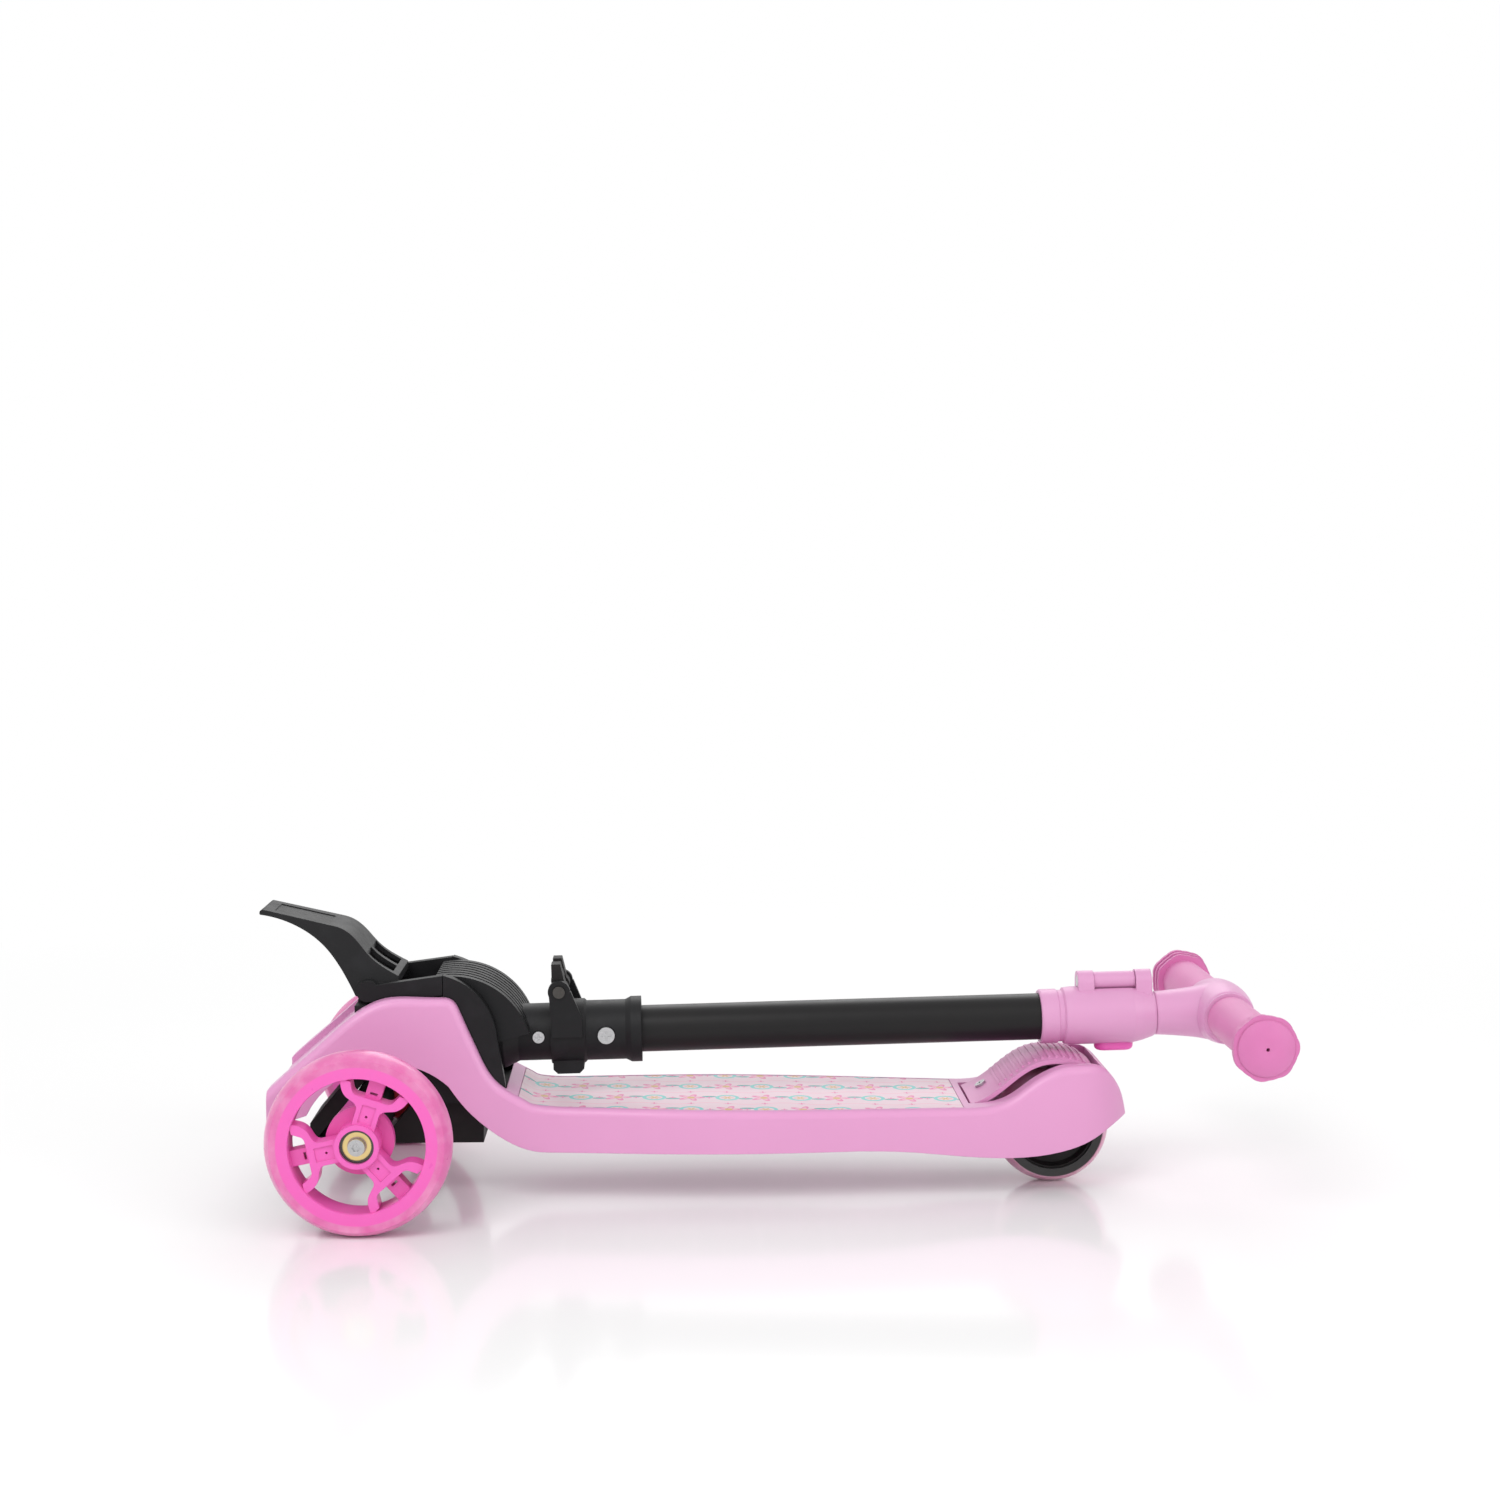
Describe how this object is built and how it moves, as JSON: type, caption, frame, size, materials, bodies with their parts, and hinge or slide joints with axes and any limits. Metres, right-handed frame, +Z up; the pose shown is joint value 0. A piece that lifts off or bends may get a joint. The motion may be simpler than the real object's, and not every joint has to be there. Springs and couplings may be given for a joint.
{
  "type": "kick scooter",
  "caption": "Folding child's kick scooter lying folded: moulded deck with a hood, lean-to-steer front wheels, fender brake and a telescopic T-bar on a fold hinge.",
  "frame": {"origin": "floor under the middle of the folded scooter's length and width", "axes": "+X to the rear, +Y to the scooter's right, +Z up; the release pedal and front wheels lie at -X"},
  "size_m": [0.6806, 0.2666, 0.1958],
  "materials": {
    "body_pink": "satin moulded",
    "mat_pink": "printed film",
    "black_plastic": "fine grain",
    "steel": "bright zinc",
    "bush_red": "moulded elastomer",
    "hub_pink": "gloss moulded",
    "tyre_pink": "translucent soft polymer",
    "bearing_gold": "gold shield",
    "brake_pink": "satin moulded",
    "tube_black": "satin powder coat",
    "pale_pink": "satin moulded",
    "grip_pink": "soft grip",
    "tube_silver": "drawn tube"
  },
  "bodies": {
    "deck": {"deck_shell": "body_pink", "deck_mat": "mat_pink", "fold_housing": "black_plastic", "housing_screws": "steel", "hinge_bolt": "steel", "hinge_nut": "steel", "pedal_pin": "steel", "pedal_spring": "steel", "steering_bracket": "black_plastic", "bracket_screws": "steel", "kingpin": "steel", "kingpin_nut": "steel", "steer_bush": "bush_red", "rear_axle": "steel", "rear_axle_nut": "steel", "rear_spacers": "steel", "brake_pin": "steel", "brake_spring": "steel"},
    "truck": {"truck_beam": "black_plastic", "axle_bolt_left": "steel", "axle_bolt_right": "steel"},
    "wheel_left": {"hub_left": "hub_pink", "tyre_left": "tyre_pink", "bearings_left": "bearing_gold"},
    "wheel_right": {"hub_right": "hub_pink", "tyre_right": "tyre_pink", "bearings_right": "bearing_gold"},
    "rear_wheel": {"rear_core": "black_plastic", "rear_tyre": "tyre_pink", "rear_bearings": "bearing_gold"},
    "brake": {"brake_pedal": "brake_pink", "brake_pad": "black_plastic", "brake_screw": "steel"},
    "pedal": {"release_pedal": "black_plastic"},
    "stem": {"stem_base": "black_plastic", "stem_bolts": "steel", "latch_pin": "steel", "latch_spring": "steel", "outer_tube": "tube_black", "tube_liner": "black_plastic", "clamp_collar": "pale_pink", "clamp_bolt": "steel", "button_spring": "steel"},
    "latch": {"latch_tongue": "black_plastic"},
    "lever": {"clamp_lever": "pale_pink"},
    "button": {"height_button": "hub_pink"},
    "tbar": {"inner_tube": "tube_silver", "guide_ring": "black_plastic", "t_head": "pale_pink", "t_head_screw": "steel", "handle_bar": "tube_silver", "grip_left": "grip_pink", "grip_right": "grip_pink"}
  },
  "joints": [
    {"name": "column_fold", "type": "hinge", "parent": "deck", "child": "stem", "pos_m": [-0.21137, 0, 0.0975], "axis": [0, -1, 0], "range_deg": [0, 86.4]},
    {"name": "release_press", "type": "hinge", "parent": "deck", "child": "pedal", "pos_m": [-0.26637, 0, 0.143], "axis": [0, -1, 0], "range_deg": [0, 12], "stiffness_Nm_per_rad": 1.5, "springref_deg": -5.73},
    {"name": "latch_tip", "type": "hinge", "parent": "stem", "child": "latch", "pos_m": [-0.13942, 0, 0.13861], "axis": [0, 1, 0], "range_deg": [0, 20], "stiffness_Nm_per_rad": 0.3, "springref_deg": -8.59},
    {"name": "height_slide", "type": "slide", "parent": "stem", "child": "tbar", "axis": [0.9997, 0, 0.0236], "range_m": [0, 0.15]},
    {"name": "lever_open", "type": "hinge", "parent": "stem", "child": "lever", "pos_m": [0.22876, 0, 0.13988], "axis": [0.9997, 0, 0.0236], "range_deg": [0, 95]},
    {"name": "button_press", "type": "slide", "parent": "stem", "child": "button", "axis": [-0.0236, 0, 0.9997], "range_m": [0, 0.0025], "stiffness_N_per_m": 400, "springref_m": -0.002, "deforming": ["button_spring"]},
    {"name": "lean_steer", "type": "hinge", "parent": "deck", "child": "truck", "pos_m": [-0.26287, 0, 0.072], "axis": [-0.766, 0, 0.6428], "range_deg": [-12, 12], "stiffness_Nm_per_rad": 25},
    {"name": "wheel_left_spin", "type": "hinge", "parent": "truck", "child": "wheel_left", "pos_m": [-0.26287, -0.12, 0.06], "axis": [0, 1, 0], "continuous": true},
    {"name": "wheel_right_spin", "type": "hinge", "parent": "truck", "child": "wheel_right", "pos_m": [-0.26287, 0.12, 0.06], "axis": [0, 1, 0], "continuous": true},
    {"name": "rear_wheel_spin", "type": "hinge", "parent": "deck", "child": "rear_wheel", "pos_m": [0.20013, 0, 0.04], "axis": [0, 1, 0], "continuous": true},
    {"name": "brake_press", "type": "hinge", "parent": "deck", "child": "brake", "pos_m": [0.14713, 0, 0.0565], "axis": [0, 1, 0], "range_deg": [0, 4.5], "stiffness_Nm_per_rad": 3, "springref_deg": -4.58}
  ]
}
